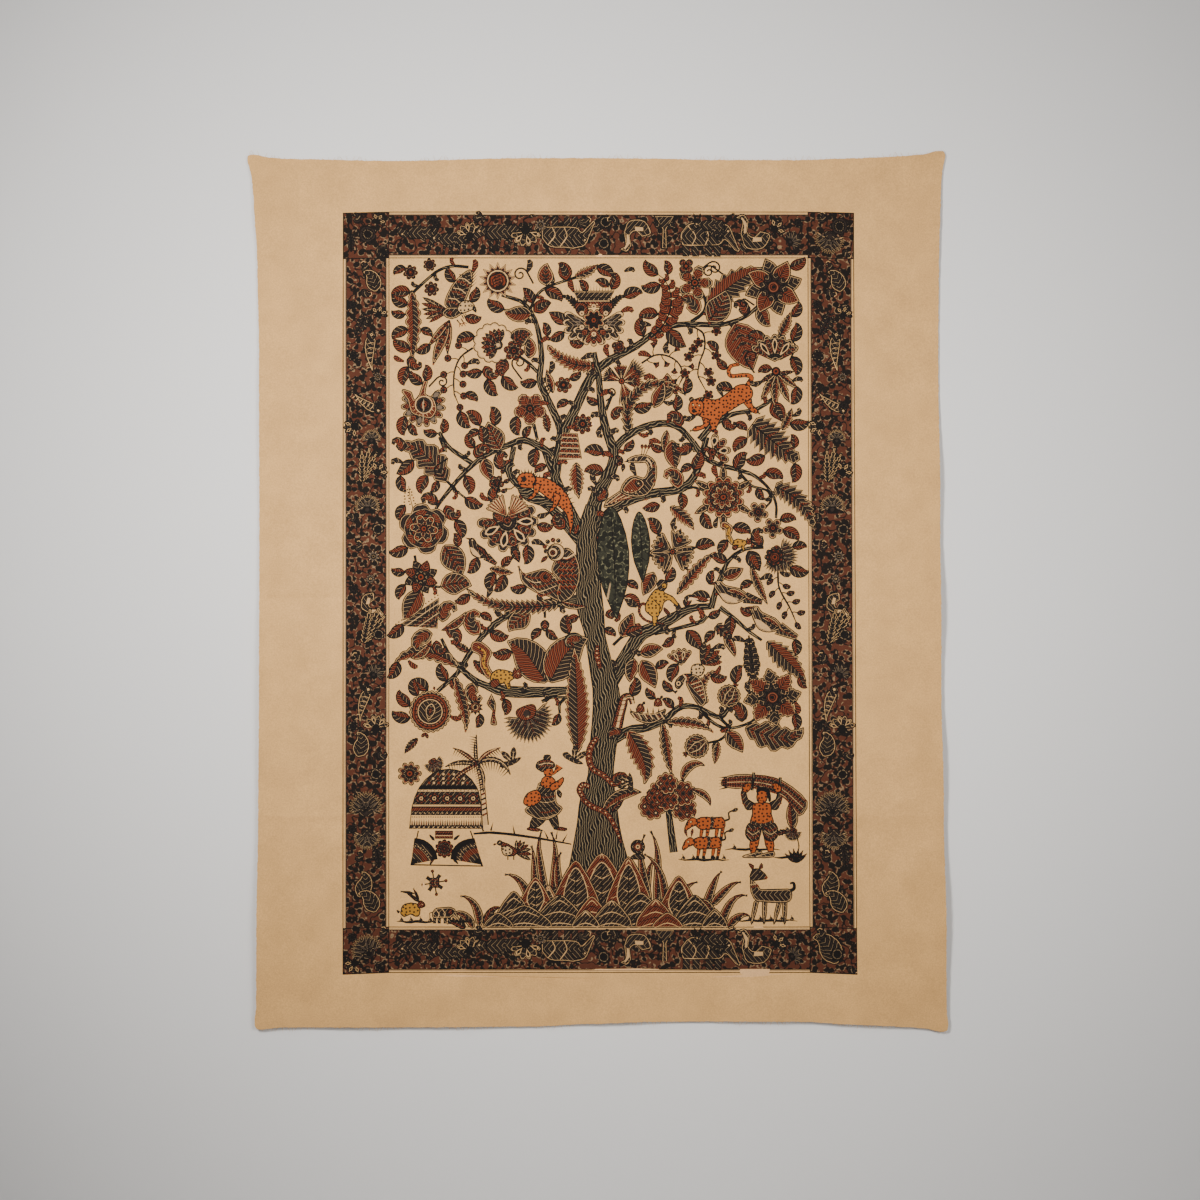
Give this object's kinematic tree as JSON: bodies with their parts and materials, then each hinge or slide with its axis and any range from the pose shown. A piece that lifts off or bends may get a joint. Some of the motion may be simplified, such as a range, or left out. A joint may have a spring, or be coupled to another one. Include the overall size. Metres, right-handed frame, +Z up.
{
  "type": "kalamkari panel",
  "caption": "Cotton cloth hung by its top edge, block printed and painted with a tree full of birds and animals inside a figured border.",
  "frame": {"origin": "middle of the top edge, in the plane of the wall that the cloth hangs on", "axes": "+Z up, +X to the right as seen from the front, and the printed face looks along -Y"},
  "size_m": [1.1265, 0.0154, 1.418],
  "materials": {
    "cotton": "matt plain-woven cotton, tan from myrobalan, with printed and painted dyes in black, grey-brown, red-brown, orange, yellow and dark green"
  },
  "bodies": {
    "root": {"cloth_panel": "cotton"}
  },
  "joints": []
}
